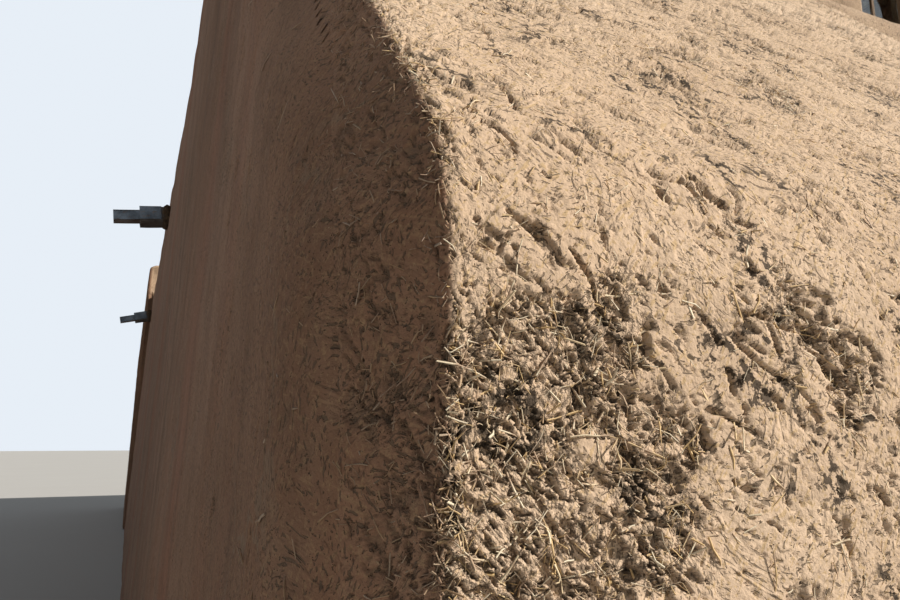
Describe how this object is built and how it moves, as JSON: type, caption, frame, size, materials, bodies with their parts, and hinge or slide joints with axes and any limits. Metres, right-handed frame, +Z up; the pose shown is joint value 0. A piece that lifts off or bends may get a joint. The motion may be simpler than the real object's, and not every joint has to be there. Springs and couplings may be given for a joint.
{
  "type": "adobe house",
  "caption": "Long flat-roofed adobe house with battered walls, a sloping corner buttress, roof drains, a taller rear room and a set-back upper room.",
  "frame": {"origin": "on the ground, at the middle of the long block's plan, on the underside of its floor", "axes": "+Z up, -Y towards the front with the buttress and the doorway, -X towards the long blank wall with its roof drains"},
  "size_m": [8.3418, 19.62, 6.8],
  "materials": {
    "adobe_plaster": "hand-spread mud plaster over adobe, matte",
    "drain_timber": "grey weathered timber",
    "earth_floor": "sealed packed earth",
    "galvanised_sheet": "dull galvanised sheet",
    "hewn_timber": "hewn timber, weathered",
    "joinery_timber": "weathered planed timber",
    "pole_deck": "split poles",
    "roof_earth": "packed earth, matte",
    "roof_log": "peeled log, aged",
    "straw_plaster": "coarse mud and straw plaster over adobe, matte",
    "window_glass": "old clear glass"
  },
  "bodies": {
    "root": {"corner_buttress": "straw_plaster", "floor": "earth_floor", "front_door_frame": "joinery_timber", "front_door_lintel": "hewn_timber", "front_threshold": "earth_floor", "front_wall_left": "adobe_plaster", "front_wall_over_door": "joinery_timber", "front_wall_right": "adobe_plaster", "front_window_frame": "joinery_timber", "front_window_lintel": "hewn_timber", "ground_window_panes": "window_glass", "left_drain_front": "drain_timber", "left_drain_rear": "drain_timber", "left_spout_front": "galvanised_sheet", "left_spout_rear": "galvanised_sheet", "left_wall": "adobe_plaster", "rear_roof_deck": "pole_deck", "rear_roof_earth": "roof_earth", "rear_roof_logs": "roof_log", "rear_room_back_wall": "adobe_plaster", "rear_room_door": "joinery_timber", "rear_room_door_frame": "joinery_timber", "rear_room_door_lintel": "hewn_timber", "rear_room_drain": "drain_timber", "rear_room_floor": "earth_floor", "rear_room_front_wall": "adobe_plaster", "rear_room_left_wall": "adobe_plaster", "rear_room_right_wall": "adobe_plaster", "rear_room_spout": "galvanised_sheet", "rear_room_window_frame": "joinery_timber", "rear_room_window_lintel": "hewn_timber", "right_front_window_frame": "joinery_timber", "right_front_window_lintel": "hewn_timber", "right_rear_drain": "drain_timber", "right_rear_spout": "galvanised_sheet", "right_rear_window_frame": "joinery_timber", "right_rear_window_lintel": "hewn_timber", "right_wall_front": "adobe_plaster", "right_wall_rear": "adobe_plaster", "roof_deck": "pole_deck", "roof_earth": "roof_earth", "roof_logs": "roof_log", "upper_door": "joinery_timber", "upper_door_frame": "joinery_timber", "upper_door_lintel": "hewn_timber", "upper_floor": "earth_floor", "upper_front_wall": "adobe_plaster", "upper_left_wall": "adobe_plaster", "upper_rear_wall": "adobe_plaster", "upper_right_wall": "adobe_plaster", "upper_roof_deck": "pole_deck", "upper_roof_earth": "roof_earth", "upper_roof_logs": "roof_log", "upper_window_frame": "joinery_timber", "upper_window_lintel": "hewn_timber", "upper_window_panes": "window_glass"}
  },
  "joints": []
}
